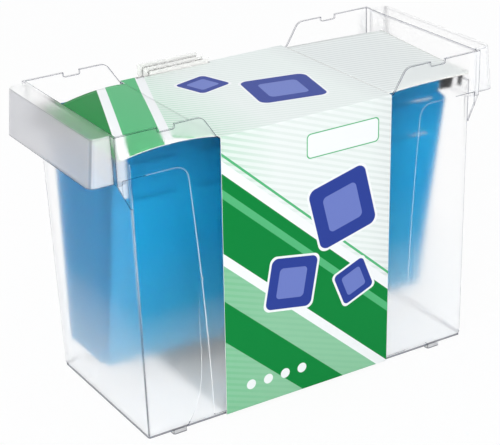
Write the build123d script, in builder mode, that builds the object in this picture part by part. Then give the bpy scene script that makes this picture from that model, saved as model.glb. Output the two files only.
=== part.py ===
from build123d import *
from math import asin, atan, cos, degrees, radians, sin, tan
import os

# A clear box for hanging files, with five files, a card sleeve and loose label tabs.
# X runs from grip to grip, the front wall faces -Y, and Z = 0 is under the feet.
# Heights named "height" are measured up from the underside of the box's floor.

# Box walls
body_length = 323.4
body_depth = 160.8
draft = 0.77
wall = 2.0
floor_thickness = 2.5
rail_height = 245.4
rim_rise = 24.6
corner_radius = 3.5
plinth_height = 3.0
plinth_inset = 0.6

# Feet
foot_height = 4.0
foot_length = 13.0
foot_depth = 7.0
foot_inset = 30.4
foot_setback = 0.4
foot_corner_radius = 1.8

# End collars: the hook trough beside the rail, then the grip outside it
trough_drop = 15.4
trough_width = 8.0
trough_floor = 2.0
grip_reach_low = 21.36
grip_reach_rim = 17.21
collar_setback = 5.6
collar_corner_radius = 7.0
collar_edge_radius = 1.6
grip_corner_radius = 5.0
gusset_drop = 22.0

# Card sleeve
sleeve_width = 165.0
card_thickness = 0.6
card_clearance = 0.3
fold_gap = 0.3
wing_end_margin = 2.8
wing_front_margin = 2.6
wing_back_taper = 27.0
left_wing_rise = 3.6
right_wing_rise = 1.2

# Cutouts of the front and back walls, and the notches beside them
cutout_rise = 3.6
cutout_side_clearance = 1.9
cutout_slope = 57.0
cutout_rim_radius = 9.0
cutout_low_radius = 4.0
notch_length = 15.0
notch_depth = 4.0
notch_inset = 31.2
notch_radius = 1.4

# Stepped corner panels pressed into the front and back walls
panel_drop = 11.9
panel_radius = 12.0
panel_step = 0.5
panel_top_half = 113.5
panel_middle_half = 104.0
panel_low_half = 98.5
foot_panel_height = 128.0
foot_panel_waist_half = 108.5
foot_panel_waist_height = 62.0
foot_panel_toe_half = 118.0
foot_panel_toe_height = 11.0
foot_panel_end_half = 130.0

# Hanging files
file_count = 5
file_drop = 220.0
file_base = 8.0
sheet_thickness = 0.5
sheet_end_margin = 3.7
sheet_corner_radius = 4.0
crease_gap = 0.3
hem_setback = 9.0
bar_thickness = 1.0
bar_height = 10.0
bar_clearance = 0.1
hook_wall = 0.6
hook_overlap = 8.5
hook_shoulder = 3.6
shoulder_clearance = 2.4
tip_clearance = 2.8
hook_tip_length = 2.9
hook_tip_drop = 9.6
hook_rise = 2.0
hook_end_radius = 2.6
hook_edge_radius = 0.8
rail_clearance = 0.4
slit_length = 40.0
slit_width = 1.4
slit_spacing = 61.0
slit_row_spacing = 35.0
slit_row_drop = 17.0
slit_columns = 5
slit_rows = 2

# Where the files hang: the first one open and askew, the others closed behind it
back_file_margin = 6.65
closed_file_pitch = 15.5
front_file_gap = 26.5
front_file_skew = 4.0
front_bar_margin = 13.4

# Loose label tabs behind the sleeve
tab_count = 3
tab_width = 61.0
tab_height = 36.0
tab_thickness = 0.9
tab_wall = 0.3
tab_seam = 0.8
tab_corner_radius = 2.0
tab_gap = 0.25
tab_x = -36.6
tab_shift = 5.3
tab_top_rise = 12.8
tab_top_step = 3.7
slot_margin = 1.0
insert_thickness = 0.15
insert_margin = 0.8

# How far a cut runs past what it cuts
overrun = 5.0

# An edge counts as upright when it rises by more than this share of its length
upright_share = 0.9


def half_length(height):
    """Half the outside length of the body at a height above its underside."""
    return body_length / 2 + height * tan(radians(draft))


def half_depth(height):
    """Half the outside depth of the body at a height above its underside."""
    return body_depth / 2 + height * tan(radians(draft))


def level(height):
    """Z of a height above the underside."""
    return foot_height + height


def drafted_block(low, high, half_x, half_y, slope=draft, mode=Mode.ADD):
    """Adds a block to the open part: half sizes at its low end, growing upwards by the slope."""
    with BuildSketch(Plane.XY.offset(level(low))) as section:
        Rectangle(2 * half_x, 2 * half_y)
    extrude(section.sketch, amount=high - low, taper=-slope, mode=mode)


def uprights(edges):
    """The edges that stand nearly upright."""
    return edges.filter_by(lambda edge: abs(edge.tangent_at(0).Z) > upright_share)

# Box: its other heights follow the rails that the files hang on
os.makedirs("parts", exist_ok=True)
rim_height = rail_height + rim_rise
cutout_height = rail_height + cutout_rise
panel_height = rail_height - panel_drop
trough_underside = rail_height - trough_drop
frame_half = half_length(trough_underside) + trough_width + wall
collar_half_depth = half_depth(trough_underside) - collar_setback

with BuildPart() as body:
    drafted_block(
        plinth_height, rail_height, half_length(plinth_height), half_depth(plinth_height)
    )
    fillet(uprights(body.edges()), corner_radius)
    with BuildSketch(Plane.XY.offset(level(0))):
        RectangleRounded(
            body_length - 2 * plinth_inset,
            body_depth - 2 * plinth_inset,
            corner_radius - plinth_inset,
        )
    extrude(amount=plinth_height)

with BuildPart() as cavity:
    drafted_block(
        floor_thickness,
        rail_height + overrun,
        half_length(floor_thickness) - wall,
        half_depth(floor_thickness) - wall,
    )
    fillet(uprights(cavity.edges()), corner_radius - wall)

with BuildPart() as collar:
    rim_half = frame_half + grip_reach_rim
    low_half = frame_half + grip_reach_low
    with BuildSketch(Plane.XZ):
        Polygon(
            (frame_half - wall / 2, level(trough_underside)),
            (low_half, level(trough_underside)),
            (rim_half, level(rim_height)),
            (frame_half - wall / 2, level(rim_height)),
            align=None,
        )
    extrude(amount=collar_half_depth, both=True)
    outer_face = collar.faces().sort_by(Axis.X)[-1]
    fillet(outer_face.edges().filter_by(Axis.Y, reverse=True), collar_corner_radius)
    rim_edges = collar.faces().sort_by(Axis.Z)[-1].edges().sort_by(Axis.X)[1:]
    fillet(rim_edges, collar_edge_radius)
    mirror(about=Plane.YZ)

with BuildPart() as grip:
    collar_height = rim_height - trough_underside
    grip_start = frame_half + collar_height * tan(radians(draft))
    lean_share = (low_half - rim_half) / collar_height
    with BuildSketch(Plane.XZ):
        Polygon(
            (grip_start, level(trough_underside - overrun)),
            (low_half - wall + overrun * lean_share, level(trough_underside - overrun)),
            (rim_half - wall + wall * lean_share, level(rim_height - wall)),
            (grip_start, level(rim_height - wall)),
            align=None,
        )
    extrude(amount=collar_half_depth - wall, both=True)
    outer_face = grip.faces().sort_by(Axis.X)[-1]
    fillet(outer_face.edges().filter_by(Axis.Y, reverse=True), grip_corner_radius)
    mirror(about=Plane.YZ)

# Gussets carry the wall's extension beside the trough down to the body's corners
gusset_height = trough_underside - gusset_drop
gusset_root = half_length(gusset_height) - corner_radius
with BuildPart() as gussets:
    with BuildSketch(Plane.XZ.offset(half_depth(gusset_height) - wall)):
        Polygon(
            (gusset_root, level(gusset_height)),
            (half_length(gusset_height), level(gusset_height)),
            (frame_half, level(trough_underside)),
            (frame_half, level(trough_underside) + trough_floor / 2),
            (gusset_root, level(trough_underside) + trough_floor / 2),
            align=None,
        )
    extrude(amount=wall)
    mirror(about=Plane.YZ)
    mirror(about=Plane.XZ)

# Low cutout with S-shaped ends, drawn as the space above the wall's edge
with BuildPart() as cutouts:
    low_half_length = sleeve_width / 2 + cutout_side_clearance
    slope_run = (rim_height - cutout_height) / tan(radians(cutout_slope))
    rim_tangent = cutout_rim_radius * tan(radians(cutout_slope / 2))
    low_tangent = cutout_low_radius * tan(radians(cutout_slope / 2))
    run_share = cos(radians(cutout_slope))
    rise_share = sin(radians(cutout_slope))
    rim_corner = low_half_length + slope_run
    arc_start = (rim_corner + rim_tangent, level(rim_height))
    arc_end = (
        rim_corner - rim_tangent * run_share,
        level(rim_height) - rim_tangent * rise_share,
    )
    low_start = (
        low_half_length + low_tangent * run_share,
        level(cutout_height) + low_tangent * rise_share,
    )
    low_end = (low_half_length - low_tangent, level(cutout_height))
    with BuildSketch(Plane.XZ):
        with BuildLine():
            Polyline(
                (0, level(rim_height) + overrun),
                (arc_start[0], level(rim_height) + overrun),
                arc_start,
            )
            TangentArc(arc_start, arc_end, tangent=(-1, 0))
            Line(arc_end, low_start)
            TangentArc(low_start, low_end, tangent=(-run_share, -rise_share))
            Line(low_end, (0, level(cutout_height)))
            mirror(about=Plane.YZ)
        make_face()
    extrude(amount=body_depth, both=True)
    with BuildSketch(Plane.XZ) as notch_profile:
        notch_x = body_length / 2 - notch_inset
        with Locations((-notch_x, level(rim_height)), (notch_x, level(rim_height))):
            Rectangle(notch_length, 2 * notch_depth)
        fillet(notch_profile.vertices(), notch_radius)
    extrude(amount=body_depth, both=True)

# What the corner panels take off the walls: the whole panel, then the part towards the foot
with BuildPart() as corner_panels:
    end_half = half_length(rim_height) + overrun
    low_level = level(-overrun)
    with BuildSketch(Plane.XZ) as panel_profile:
        with BuildLine():
            Polyline(
                (panel_low_half, low_level),
                (end_half, low_level),
                (end_half, level(panel_height)),
                (panel_top_half, level(panel_height)),
            )
            ThreePointArc(
                (panel_top_half, level(panel_height)),
                (panel_middle_half, level(panel_height / 2)),
                (panel_low_half, low_level),
            )
        make_face()
        inner_top = panel_profile.vertices().sort_by(Axis.Y)[-2:].sort_by(Axis.X)[0]
        fillet(inner_top, panel_radius)
        mirror(about=Plane.YZ)
    extrude(amount=body_depth, both=True)
    drafted_block(
        -overrun,
        rim_height,
        end_half + overrun,
        half_depth(-overrun) - panel_step,
        mode=Mode.SUBTRACT,
    )

# The foot's part starts flush with the panel and deepens evenly down to the floor
foot_share = panel_step / foot_panel_height
foot_slope = degrees(atan(tan(radians(draft)) + foot_share))
foot_panel_top = level(foot_panel_height + overrun)
with BuildPart() as foot_panels:
    with BuildSketch(Plane.XZ) as foot_profile:
        with BuildLine():
            toe = (foot_panel_toe_half, level(foot_panel_toe_height))
            waist = (foot_panel_waist_half, level(foot_panel_waist_height))
            Polyline(
                (foot_panel_end_half, low_level),
                (end_half, low_level),
                (end_half, foot_panel_top),
                (panel_middle_half, foot_panel_top),
            )
            Spline(
                (panel_middle_half, foot_panel_top),
                waist,
                toe,
                (foot_panel_end_half, low_level),
            )
        make_face()
        mirror(about=Plane.YZ)
    extrude(amount=body_depth, both=True)
    drafted_block(
        -overrun,
        rim_height,
        end_half + overrun,
        half_depth(-overrun) - 2 * panel_step - overrun * foot_share,
        slope=foot_slope,
        mode=Mode.SUBTRACT,
    )

with BuildPart() as box:
    drafted_block(trough_underside, rim_height, frame_half, half_depth(trough_underside))
    drafted_block(
        trough_underside + trough_floor,
        rim_height + overrun,
        frame_half - wall,
        half_depth(trough_underside + trough_floor) - wall,
        mode=Mode.SUBTRACT,
    )
    add(collar.part)
    add(grip.part, mode=Mode.SUBTRACT)
    add(body.part)
    add(cavity.part, mode=Mode.SUBTRACT)
    add(gussets.part)
    add(corner_panels.part, mode=Mode.SUBTRACT)
    add(foot_panels.part, mode=Mode.SUBTRACT)
    add(cutouts.part, mode=Mode.SUBTRACT)
    # Feet under the front and back walls
    foot_y = body_depth / 2 - plinth_inset - foot_setback - foot_depth / 2
    with BuildSketch(Plane.XY):
        with GridLocations(body_length - 2 * foot_inset, 2 * foot_y, 2, 2):
            RectangleRounded(foot_length, foot_depth, foot_corner_radius)
    extrude(amount=foot_height)
box.part.label = "box"
export_step(box.part, "parts/box.step")


# Card sleeve: a loop round the box that rests in the cutouts. Its back panel leans out just
# far enough to clear the low edge of the outermost label tab.
loop_low = level(0) - card_clearance
loop_top = level(cutout_height) + card_clearance
front_low = half_depth(0) + card_clearance
front_top = half_depth(cutout_height) + card_clearance
tabs_outer = half_depth(cutout_height) + tab_gap + tab_count * (tab_thickness + tab_gap)
hidden_share = (tab_height - tab_top_rise) / (loop_top - loop_low)
back_top = front_low + (tabs_outer - front_low) / (1 - hidden_share)
tabs_span = tab_width + tab_shift * (tab_count - 1)

with BuildPart() as sleeve_wrap:
    with BuildSketch(Plane.YZ):
        inner_loop = [
            (-front_low, loop_low),
            (-front_top, loop_top),
            (back_top, loop_top),
            (front_low, loop_low),
        ]
        Polygon(*inner_loop, align=None)
        offset(amount=card_thickness)
        Polygon(*inner_loop, align=None, mode=Mode.SUBTRACT)
    extrude(amount=sleeve_width / 2, both=True)
    # Slot along the back fold, where the label tabs come through
    slot_depth = back_top - half_depth(cutout_height)
    with BuildSketch(Plane.XY.offset(loop_top - card_clearance)):
        with Locations((tab_x + (tabs_span - tab_width) / 2, back_top - slot_depth / 2)):
            Rectangle(tabs_span + 2 * slot_margin, slot_depth)
    extrude(amount=card_thickness + 2 * card_clearance, mode=Mode.SUBTRACT)
sleeve_wrap.part.label = "sleeve_wrap"
export_step(sleeve_wrap.part, "parts/sleeve_wrap.step")


def wing(side, rise):
    """One flap of the sleeve's top: side is -1 or 1, and rise is how far it arches."""
    start = side * (sleeve_width / 2 + fold_gap)
    end = side * (frame_half - wall - wing_end_margin)
    middle = (start + end) / 2
    front = half_depth(rail_height) - wall - wing_front_margin
    with BuildPart() as flap:
        with BuildSketch(Plane.XZ) as section:
            with BuildLine():
                low = ThreePointArc((start, loop_top), (middle, loop_top + rise), (end, loop_top))
                high = ThreePointArc(
                    (start, loop_top + card_thickness),
                    (middle, loop_top + rise + card_thickness),
                    (end, loop_top + card_thickness),
                )
                Line(low @ 0, high @ 0)
                Line(low @ 1, high @ 1)
            make_face()
        extrude(section.sketch, amount=front, both=True)
        with BuildSketch(Plane.XY.offset(loop_top - overrun)) as outline:
            Polygon(
                (start, -front),
                (end, -front),
                (end, front - wing_back_taper),
                (start, front),
                align=None,
            )
        extrude(outline.sketch, amount=rise + 2 * overrun, mode=Mode.INTERSECT)
    return flap


sleeve_left_wing = wing(-1, left_wing_rise)
sleeve_left_wing.part.label = "sleeve_left_wing"
export_step(sleeve_left_wing.part, "parts/sleeve_left_wing.step")

sleeve_right_wing = wing(1, right_wing_rise)
sleeve_right_wing.part.label = "sleeve_right_wing"
export_step(sleeve_right_wing.part, "parts/sleeve_right_wing.step")


# Hanging files: their lengths follow the rails' distance and the space between the end walls
sheet_length = 2 * (half_length(0) - wall - sheet_end_margin)
hem_length = sheet_length - 2 * hem_setback
hook_cap_end = half_length(rail_height) - wall - shoulder_clearance
hook_tip_start = half_length(rail_height) + tip_clearance
hook_reach = hook_tip_start + hook_tip_length
bar_length = 2 * (hook_cap_end - hook_shoulder)
hook_cap_start = bar_length / 2 - hook_overlap
bar_middle = file_drop + hook_rise - hook_wall - bar_clearance - bar_height / 2
hem_height = bar_height + 2 * (bar_clearance + sheet_thickness)
hem_low = bar_middle - hem_height / 2
hem_thickness = bar_thickness + 2 * (bar_clearance + sheet_thickness)
hook_thickness = bar_thickness + 2 * (bar_clearance + hook_wall)
crease_height = rail_height - file_drop

# The last file hangs just before the back wall and the others before it. The front file's
# lean brings the nearer end of its front bar to a margin from the front wall.
back_file_y = half_depth(crease_height) - wall - back_file_margin
closed_files = file_count - 1
closed_places = [back_file_y - closed_file_pitch * rank for rank in reversed(range(closed_files))]
front_file_y = closed_places[0] - front_file_gap
end_swing = hook_reach * sin(radians(front_file_skew))
front_room = half_depth(rail_height) - wall + front_file_y - end_swing - front_bar_margin
bar_travel = front_room / cos(radians(front_file_skew)) - file_base
front_file_lean = degrees(asin(bar_travel / file_drop))


def panel_plane(x, y, set_forward, lift, lean, skew):
    """Plane of one file panel: x along the file, y up the panel, origin at its bottom crease.

    x and y are where the file's middle is, set_forward how far in front of it the panel
    starts, and lift how far its crease is above the other one.
    """
    along = Vector(cos(radians(skew)), -sin(radians(skew)), 0)
    backwards = Vector(sin(radians(skew)), cos(radians(skew)), 0)
    up = Vector(0, 0, 1) * cos(radians(lean)) - backwards * sin(radians(lean))
    origin = Vector(x, y, level(crease_height) + lift) - backwards * set_forward
    return Plane(origin=origin, x_dir=along, z_dir=along.cross(up))


def sheet(plane, slits):
    """One panel of folded card with the hem that holds its bar, and rows of slits if asked."""
    with BuildPart() as panel:
        with BuildSketch(plane) as outline:
            with Locations((0, hem_low / 2)):
                Rectangle(sheet_length, hem_low)
            fillet(outline.vertices().group_by(Axis.Y)[0], sheet_corner_radius)
            high_corners = outline.vertices().group_by(Axis.Y)[-1]
            chamfer(high_corners, (sheet_length - hem_length) / 2 + sheet_thickness)
            if slits:
                slit_height = file_drop - slit_row_drop - slit_row_spacing / 2
                with Locations((0, slit_height)):
                    with GridLocations(slit_spacing, slit_row_spacing, slit_columns, slit_rows):
                        Rectangle(slit_length, slit_width, mode=Mode.SUBTRACT)
        extrude(outline.sketch, amount=sheet_thickness / 2, both=True)
        with BuildSketch(plane) as hem:
            with Locations((0, bar_middle)):
                Rectangle(hem_length, hem_height)
        extrude(hem.sketch, amount=hem_thickness / 2, both=True)
        with BuildSketch(plane) as tunnel:
            with Locations((0, bar_middle)):
                Rectangle(hem_length + overrun, bar_height + 2 * bar_clearance)
        tunnel_half = bar_thickness / 2 + bar_clearance
        extrude(tunnel.sketch, amount=tunnel_half, both=True, mode=Mode.SUBTRACT)
    return panel


def bar(plane):
    """The steel strip in a panel's hem."""
    with BuildPart() as strip:
        with BuildSketch(plane) as outline:
            with Locations((0, bar_middle)):
                Rectangle(bar_length, bar_height)
        extrude(outline.sketch, amount=bar_thickness / 2, both=True)
    return strip


def hooks(plane):
    """The two moulded ends of a bar: each caps the strip and reaches over its rail."""
    cap_half = bar_height / 2 + bar_clearance + hook_wall
    cap_top = bar_middle + cap_half
    cap_low = bar_middle - cap_half
    arm_low = file_drop + rail_clearance
    tip_low = file_drop - hook_tip_drop
    with BuildPart() as ends:
        for side in (-1, 1):
            with BuildSketch(plane) as outline:
                Polygon(
                    (side * hook_cap_start, cap_low),
                    (side * hook_cap_end, cap_low),
                    (side * hook_cap_end, arm_low),
                    (side * hook_tip_start, arm_low),
                    (side * hook_tip_start, tip_low),
                    (side * hook_reach, tip_low),
                    (side * hook_reach, cap_top),
                    (side * hook_cap_start, cap_top),
                    align=None,
                )
                outer_corners = outline.vertices().sort_by(lambda corner: side * corner.X)[-2:]
                fillet(outer_corners.sort_by(Axis.Y)[-1], hook_end_radius)
                fillet(outline.vertices().group_by(Axis.Y)[0], hook_edge_radius)
            extrude(outline.sketch, amount=hook_thickness / 2, both=True)
            with BuildSketch(plane) as socket:
                socket_end = bar_length / 2 + bar_clearance
                socket_start = hook_cap_start - overrun
                with Locations((side * (socket_start + socket_end) / 2, bar_middle)):
                    Rectangle(socket_end - socket_start, bar_height + 2 * bar_clearance)
            socket_half = bar_thickness / 2 + bar_clearance
            extrude(socket.sketch, amount=socket_half, both=True, mode=Mode.SUBTRACT)
    return ends


def base_strip(back_plane, lift):
    """The base fold, from the back panel's crease to just behind the front panel's crease."""
    reach = file_base - sheet_thickness / 2 - crease_gap
    section = Plane(
        origin=back_plane.origin, x_dir=-back_plane.z_dir, z_dir=back_plane.x_dir
    )
    with BuildPart() as fold:
        with BuildSketch(section) as outline:
            Polygon(
                (0, 0),
                (0, sheet_thickness),
                (-reach, lift * reach / file_base + sheet_thickness),
                (-reach, lift * reach / file_base),
                align=None,
            )
        extrude(outline.sketch, amount=sheet_length / 2 - sheet_corner_radius, both=True)
    return fold


for number, file_y in enumerate([front_file_y] + closed_places, start=1):
    first = number == 1
    lean = front_file_lean if first else 0
    skew = front_file_skew if first else 0
    # A leaning panel's crease is lifted so that its bar stays on the rails, and a file that
    # hangs askew is set sideways by half of what its front bar travels along the rails' gap
    lift = file_drop * (1 - cos(radians(lean)))
    file_x = (file_base + file_drop * sin(radians(lean))) * sin(radians(skew)) / 2
    back_plane = panel_plane(file_x, file_y, 0, 0, 0, skew)
    front_plane = panel_plane(file_x, file_y, file_base, lift, lean, skew)
    name = "file_" + str(number)

    with BuildPart() as back_sheet:
        add(sheet(back_plane, slits=False).part)
        add(base_strip(back_plane, lift).part)
    back_sheet.part.label = name + "_back_sheet"
    export_step(back_sheet.part, "parts/" + back_sheet.part.label + ".step")

    front_sheet = sheet(front_plane, slits=True)
    front_sheet.part.label = name + "_front_sheet"
    export_step(front_sheet.part, "parts/" + front_sheet.part.label + ".step")

    for place, plane in (("back", back_plane), ("front", front_plane)):
        strip = bar(plane)
        strip.part.label = name + "_" + place + "_bar"
        export_step(strip.part, "parts/" + strip.part.label + ".step")
        ends = hooks(plane)
        ends.part.label = name + "_" + place + "_hooks"
        export_step(ends.part, "parts/" + ends.part.label + ".step")


# Label tabs: flat clear tubes with a paper strip inside, stepped like a fan
for number in range(1, tab_count + 1):
    layer = tab_count - number
    x = tab_x + tab_shift * (number - 1)
    wall_face = half_depth(cutout_height) + tab_gap
    y = wall_face + layer * (tab_thickness + tab_gap) + tab_thickness / 2
    top = loop_top + card_thickness + tab_top_rise - tab_top_step * (number - 1)
    face = Plane.XZ.offset(-y)
    with BuildPart() as label_tab:
        with BuildSketch(face):
            with Locations((x, top - tab_height / 2)):
                RectangleRounded(tab_width, tab_height, tab_corner_radius)
        extrude(amount=tab_thickness / 2, both=True)
        with BuildSketch(face):
            with Locations((x, top - tab_height / 2)):
                Rectangle(tab_width + overrun, tab_height - 2 * tab_seam)
        extrude(amount=tab_thickness / 2 - tab_wall, both=True, mode=Mode.SUBTRACT)
    label_tab.part.label = "label_tab_" + str(number)
    export_step(label_tab.part, "parts/" + label_tab.part.label + ".step")

    with BuildPart() as label_insert:
        with BuildSketch(face):
            with Locations((x, top - tab_height / 2)):
                Rectangle(
                    tab_width - 2 * insert_margin,
                    tab_height - 2 * tab_seam - 2 * insert_margin,
                )
        extrude(amount=insert_thickness / 2, both=True)
    label_insert.part.label = "label_insert_" + str(number)
    export_step(label_insert.part, "parts/" + label_insert.part.label + ".step")
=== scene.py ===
"""Looks of a clear hanging-file box with its files, card sleeve and label tabs.

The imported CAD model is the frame, and everything here is built round it in metres.
Sizes are written in millimetres and turned to metres by MM.
"""

from __future__ import annotations

import logging
import math
from dataclasses import dataclass
from enum import Enum

import bpy
import numpy as np
from mathutils import Matrix, Vector

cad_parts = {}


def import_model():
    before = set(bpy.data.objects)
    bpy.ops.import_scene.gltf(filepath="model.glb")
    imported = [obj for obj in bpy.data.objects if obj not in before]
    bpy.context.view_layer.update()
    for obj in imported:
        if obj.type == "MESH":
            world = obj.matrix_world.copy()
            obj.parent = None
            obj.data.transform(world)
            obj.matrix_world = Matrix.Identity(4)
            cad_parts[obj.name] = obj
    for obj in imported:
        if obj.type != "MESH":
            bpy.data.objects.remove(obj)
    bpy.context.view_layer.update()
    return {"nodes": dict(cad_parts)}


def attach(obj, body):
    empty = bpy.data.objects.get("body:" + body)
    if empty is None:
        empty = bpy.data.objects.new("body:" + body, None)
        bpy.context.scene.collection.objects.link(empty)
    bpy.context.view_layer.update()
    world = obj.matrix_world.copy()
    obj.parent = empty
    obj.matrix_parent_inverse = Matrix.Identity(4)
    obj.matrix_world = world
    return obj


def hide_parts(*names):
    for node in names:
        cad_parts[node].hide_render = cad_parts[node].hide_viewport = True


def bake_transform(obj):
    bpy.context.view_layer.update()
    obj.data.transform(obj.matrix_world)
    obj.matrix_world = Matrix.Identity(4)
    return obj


MM = 0.001
# Past the whole print, in millimetres.
FAR = 900.0
# Sockets of a Mix node for colours: its share, the two that it mixes, and the result.
SHARE, UNDER, OVER, MIXED = 0, 6, 7, 2
LOG = logging.getLogger("file_box")

Pair = tuple[float, float]
Triple = tuple[float, float, float]
Tree = bpy.types.NodeTree
Socket = bpy.types.NodeSocket


def linear(hex_colour: str) -> tuple[float, float, float, float]:
    """Turns an sRGB hex colour to the linear colour that shaders use.

    The numbers are those of the sRGB curve: a straight start, then a power of 2.4.

    Args:
        hex_colour: six hex digits after a hash.

    Returns:
        Red, green, blue and an alpha of 1.
    """
    channels = [int(hex_colour[i : i + 2], 16) / 255 for i in (1, 3, 5)]
    bent = [c / 12.92 if c <= 0.04045 else ((c + 0.055) / 1.055) ** 2.4 for c in channels]
    return bent[0], bent[1], bent[2], 1.0


def add_node(
    tree: Tree, kind: str, inputs: dict | tuple = (), out: int | str = 0, **settings: object
) -> Socket | None:
    """Adds one node with its settings, its socket values and its links.

    Args:
        tree: the node tree that gets it.
        kind: the node's class name without its "ShaderNode" start.
        inputs: what each socket holds, a value or the output that feeds it. A dict gives it by
            the socket's name or number, and a tuple gives the first sockets in their order.
        out: name or number of the output that is wanted.
        settings: the node's own properties.

    Returns:
        That output, or None for a node that has none.
    """
    node = tree.nodes.new("ShaderNode" + kind)
    for name, value in settings.items():
        setattr(node, name, value)
    for name, value in inputs.items() if isinstance(inputs, dict) else enumerate(inputs):
        if isinstance(value, bpy.types.NodeSocket):
            tree.links.new(value, node.inputs[name])
        else:
            node.inputs[name].default_value = value
    return node.outputs[out] if node.outputs else None


def flatness(tree: Tree, reach: float) -> Socket:
    """How flat the surface is near a point.

    It is the dot product of the true normal and the one that a rounded edge would have.

    Args:
        tree: the material's nodes.
        reach: the rounding's radius in metres.

    Returns:
        1 on flat ground, and less within that radius of an edge.
    """
    rounded = add_node(tree, "Bevel", {"Radius": reach}, samples=6)
    normal = add_node(tree, "NewGeometry", out="Normal")
    return add_node(tree, "VectorMath", (rounded, normal), "Value", operation="DOT_PRODUCT")


def white_to_eye(tree: Tree) -> Socket:
    """Tells the rays that an eye sees from those that light the scene.

    Args:
        tree: the nodes of a material or of the world.

    Returns:
        1 for rays from the camera, a mirror or clear plastic, 0 for light that scatters.
    """
    seen: float | Socket = 0.0
    for kind in ("Is Camera Ray", "Is Glossy Ray", "Is Transmission Ray"):
        ray = add_node(tree, "LightPath", out=kind)
        seen = add_node(tree, "Math", (seen, ray), operation="MAXIMUM")
    return seen


class Finish:
    """A material with the name of the real one, whose shader each subclass builds."""

    name: str

    def shader(self, tree: Tree) -> Socket:
        """Builds the finish.

        Args:
            tree: the material's nodes, which are empty.

        Returns:
            The output of its shader.
        """
        raise NotImplementedError

    def material(self) -> bpy.types.Material:
        """Builds the material.

        Returns:
            The material, ready to dress a piece.
        """
        material = bpy.data.materials.new(self.name)
        material.use_nodes = True
        tree = material.node_tree
        tree.nodes.clear()
        add_node(tree, "OutputMaterial", {"Surface": self.shader(tree)})
        return material


@dataclass(frozen=True)
class Spot:
    """What the box's material knows of the spot that it shades.

    Its place on the box in metres, its normal's shares along X, Y and Z, and the same shares
    without their signs, which say how it faces.
    """

    tree: Tree
    place: list[Socket]
    normal: list[Socket]
    facing: list[Socket]


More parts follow.
